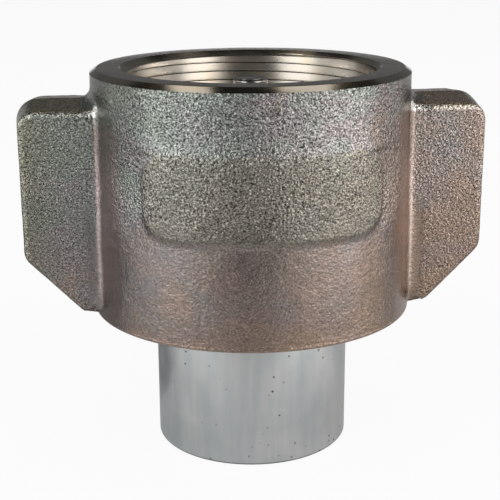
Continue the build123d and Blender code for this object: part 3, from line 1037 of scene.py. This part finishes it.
dress(nut_skin(), MATERIALS["nut_forging"], "nut", "wing_nut")
foot_coated(dress(nut_core(), MATERIALS["guide_steel"], "nut", "wing_nut"))
dress(body(), MATERIALS["body_steel"], "coupler", "coupler_body")
dress(poppet(), MATERIALS["poppet_steel"], "valve", "poppet")
spring = dress(coil(), MATERIALS["spring_steel"], "coupler", "valve_spring")
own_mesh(spring)
for part in frame["record"]["subparts"]:
    if part["node"] not in ("wing_nut", "coupler_body", "poppet", "valve_spring"):
        node = frame["nodes"][part["node"]]
        node.data.materials.clear()
        node.data.materials.append(MATERIALS[part["material_slot"]])

# ---- Floor, studio and camera ----
STUDIO = bpy.context.scene


PAPER_GREY = 0.90
PAPER_GLOW = 0.92  # share of the floor that the camera sees as plain white
FLOOR_SIZE = 12.0
FILL = 0.35  # the even light from all round, beside white paper


def emptied(holder):
    """The nodes and links of a material or a world, with nothing in them."""
    holder.use_nodes = True
    holder.node_tree.nodes.clear()
    return holder.node_tree.nodes, holder.node_tree.links


def grey_shader(nodes, kind, grey):
    node = nodes.new(kind)
    node.inputs["Color"].default_value = (grey, grey, grey, 1)
    return node


def blended(nodes, links, share, first, second, output):
    """Ends a node tree in a mix of two shaders."""
    blend = nodes.new("ShaderNodeMixShader")
    links.new(share, blend.inputs[0])
    links.new(first.outputs[0], blend.inputs[1])
    links.new(second.outputs[0], blend.inputs[2])
    links.new(blend.outputs[0], nodes.new(output).inputs[0])


def seen_directly(nodes, links):
    """1 for camera, glossy and transmission rays, and 0 for the light that falls on things."""
    path = nodes.new("ShaderNodeLightPath")
    seen = path.outputs["Is Camera Ray"]
    for ray in ("Is Glossy Ray", "Is Transmission Ray"):
        either = nodes.new("ShaderNodeMath")
        either.operation = "MAXIMUM"
        links.new(seen, either.inputs[0])
        links.new(path.outputs[ray], either.inputs[1])
        seen = either.outputs[0]
    return seen


def sheet(name, width, height, material):
    """A flat rectangle about its own middle, in metres."""
    w, h = width / 2, height / 2
    mesh = bpy.data.meshes.new(name)
    corners = [Vector(c) for c in ((-w, -h, 0), (w, -h, 0), (w, h, 0), (-w, h, 0))]
    mesh.from_pydata(corners, [], [(0, 1, 2, 3)])
    mesh.materials.append(material)
    return bpy.data.objects.new(name, mesh)


def floor():
    material = bpy.data.materials.new("floor")
    nodes, links = emptied(material)
    paper = grey_shader(nodes, "ShaderNodeBsdfDiffuse", PAPER_GREY)
    glow = grey_shader(nodes, "ShaderNodeEmission", 1)
    share = nodes.new("ShaderNodeMath")
    share.operation = "MULTIPLY"
    links.new(nodes.new("ShaderNodeLightPath").outputs["Is Camera Ray"], share.inputs[0])
    share.inputs[1].default_value = PAPER_GLOW
    blended(nodes, links, share.outputs[0], paper, glow, "ShaderNodeOutputMaterial")
    plane = sheet("floor", FLOOR_SIZE, FLOOR_SIZE, material)
    STUDIO.collection.objects.link(plane)


def world():
    sky = bpy.data.worlds.new("studio")
    STUDIO.world = sky
    nodes, links = emptied(sky)
    backdrop = grey_shader(nodes, "ShaderNodeBackground", 1)
    fill = grey_shader(nodes, "ShaderNodeBackground", 1)
    fill.inputs["Strength"].default_value = FILL
    blended(nodes, links, seen_directly(nodes, links), fill, backdrop, "ShaderNodeOutputWorld")


def aimed(obj, place, target):
    obj.location = place
    obj.rotation_euler = (Vector(target) - Vector(place)).to_track_quat("-Z", "Y").to_euler()
    STUDIO.collection.objects.link(obj)
    return obj


MIDDLE = (0, 0, 0.055)  # what the lamps and cards face
BOX_DISTANCE = 0.90
CARD_LIFT = 0.002  # off the floor
CAMERA_AZIMUTH = -5.4


def around_it(azimuth, distance, height):
    """A place this far from the axis. Azimuth 0 is in front, and positive is to the right."""
    turn = math.radians(azimuth)
    return (distance * math.sin(turn), -distance * math.cos(turn), height)


def softbox(name, place, width, height, brightness, colour):
    """A lamp this many times as bright as white paper, seen by the object but not by the camera."""
    lamp = bpy.data.lights.new(name, "AREA")
    lamp.shape = "RECTANGLE"
    lamp.size, lamp.size_y = width, height
    lamp.energy = brightness * math.pi * width * height
    lamp.color = colour
    box = aimed(bpy.data.objects.new(name, lamp), place, MIDDLE)
    box.visible_camera = False
    return box


def overhead(name, place, width, length, brightness, colour):
    """A softbox that hangs level and runs from front to back."""
    softbox(name, place, width, length, brightness, colour).rotation_euler = (0, 0, 0)


def card(name, place, width, height, grey, target=MIDDLE):
    """A grey studio card that only reflections see."""
    material = bpy.data.materials.new(name)
    nodes, links = emptied(material)
    glow = grey_shader(nodes, "ShaderNodeEmission", grey)
    links.new(glow.outputs[0], nodes.new("ShaderNodeOutputMaterial").inputs[0])
    board = sheet(name, width, height, material)
    aimed(board, place, target)
    board.visible_camera = board.visible_shadow = False
    board.visible_diffuse = board.visible_transmission = False


def floor_card(name, x, y, width, depth, grey):
    """A grey card that lies on the floor, its face up, seen only in reflections: a painted reflection of a
    darker or a glowing patch of floor.
    """
    card(name, (x, y, CARD_LIFT), width, depth, grey, target=(x, y, 1.0))


def studio():
    """Big soft boxes at both sides, strips above the back, and cards that shape the reflections."""
    for name, azimuth, height, width, tall, brightness, colour in (
        ("left_box", -54, 0.50, 0.60, 0.90, 2.45, (0.97, 0.99, 1.0)),
        ("right_box", 48, 0.50, 0.57, 0.90, 2.6, (1.0, 0.97, 0.93)),
        ("left_side", -104, 0.12, 0.40, 0.22, 3.0, (1.0, 0.98, 0.98)),
        ("right_side", 98, 0.12, 0.50, 0.22, 4.0, (1.0, 0.95, 0.90)),
    ):
        softbox(name, around_it(azimuth, BOX_DISTANCE, height), width, tall, brightness, colour)
    overhead("left_strip", (-0.24, 0.32, 0.88), 0.17, 0.34, 1.6, (1.0, 0.96, 0.88))
    overhead("right_strip", (0.27, 0.32, 0.88), 0.26, 0.34, 1.5, (1.0, 0.96, 0.88))
    card("ceiling", (0, 0, 1.3), 3.0, 3.0, 0.02)
    card("back_card", (0, 1.2, 0.62), 3.4, 1.04, 0.13)
    card("front_card", around_it(CAMERA_AZIMUTH, 1.3, 0.75), 1.5, 1.1, 0.06)
    # Painted reflections: dark floor in front of and beside the object, glowing floor further out at the
    # sides.
    floor_card("front_floor_reflection", *around_it(CAMERA_AZIMUTH, 0.80, 0)[:2], 0.24, 1.30, 0.12)
    floor_card("left_glow", -0.45, -0.28, 0.60, 0.45, 1.45)
    floor_card("right_glow", 0.43, -0.29, 0.56, 0.47, 2.0)
    floor_card("left_floor_reflection", -0.215, 0.13, 0.37, 0.24, 0.22)
    floor_card("right_floor_reflection", 0.215, 0.13, 0.37, 0.24, 0.45)


def camera():
    """Three-quarter-high front view, a few degrees to the left of straight ahead."""
    azimuth, distance, height = CAMERA_AZIMUTH, 0.257, 0.1194
    pitch, roll, aside = 16.35, 0.268, -0.0003
    lens = bpy.data.cameras.new("camera")
    lens.sensor_width = 36.0
    lens.lens = 82.9
    lens.clip_start = 0.01
    view = bpy.data.objects.new("camera", lens)
    turn = math.radians(azimuth)
    x, y, z = around_it(azimuth, distance, height)
    view.location = (x + aside * math.cos(turn), y + aside * math.sin(turn), z)
    look = Matrix.Rotation(turn, 3, "Z") @ Matrix.Rotation(math.radians(90 - pitch), 3, "X")
    view.rotation_euler = (look @ Matrix.Rotation(math.radians(-roll), 3, "Z")).to_euler()
    STUDIO.collection.objects.link(view)
    STUDIO.camera = view


floor()
world()
studio()
camera()
STUDIO.view_settings.view_transform = "Standard"
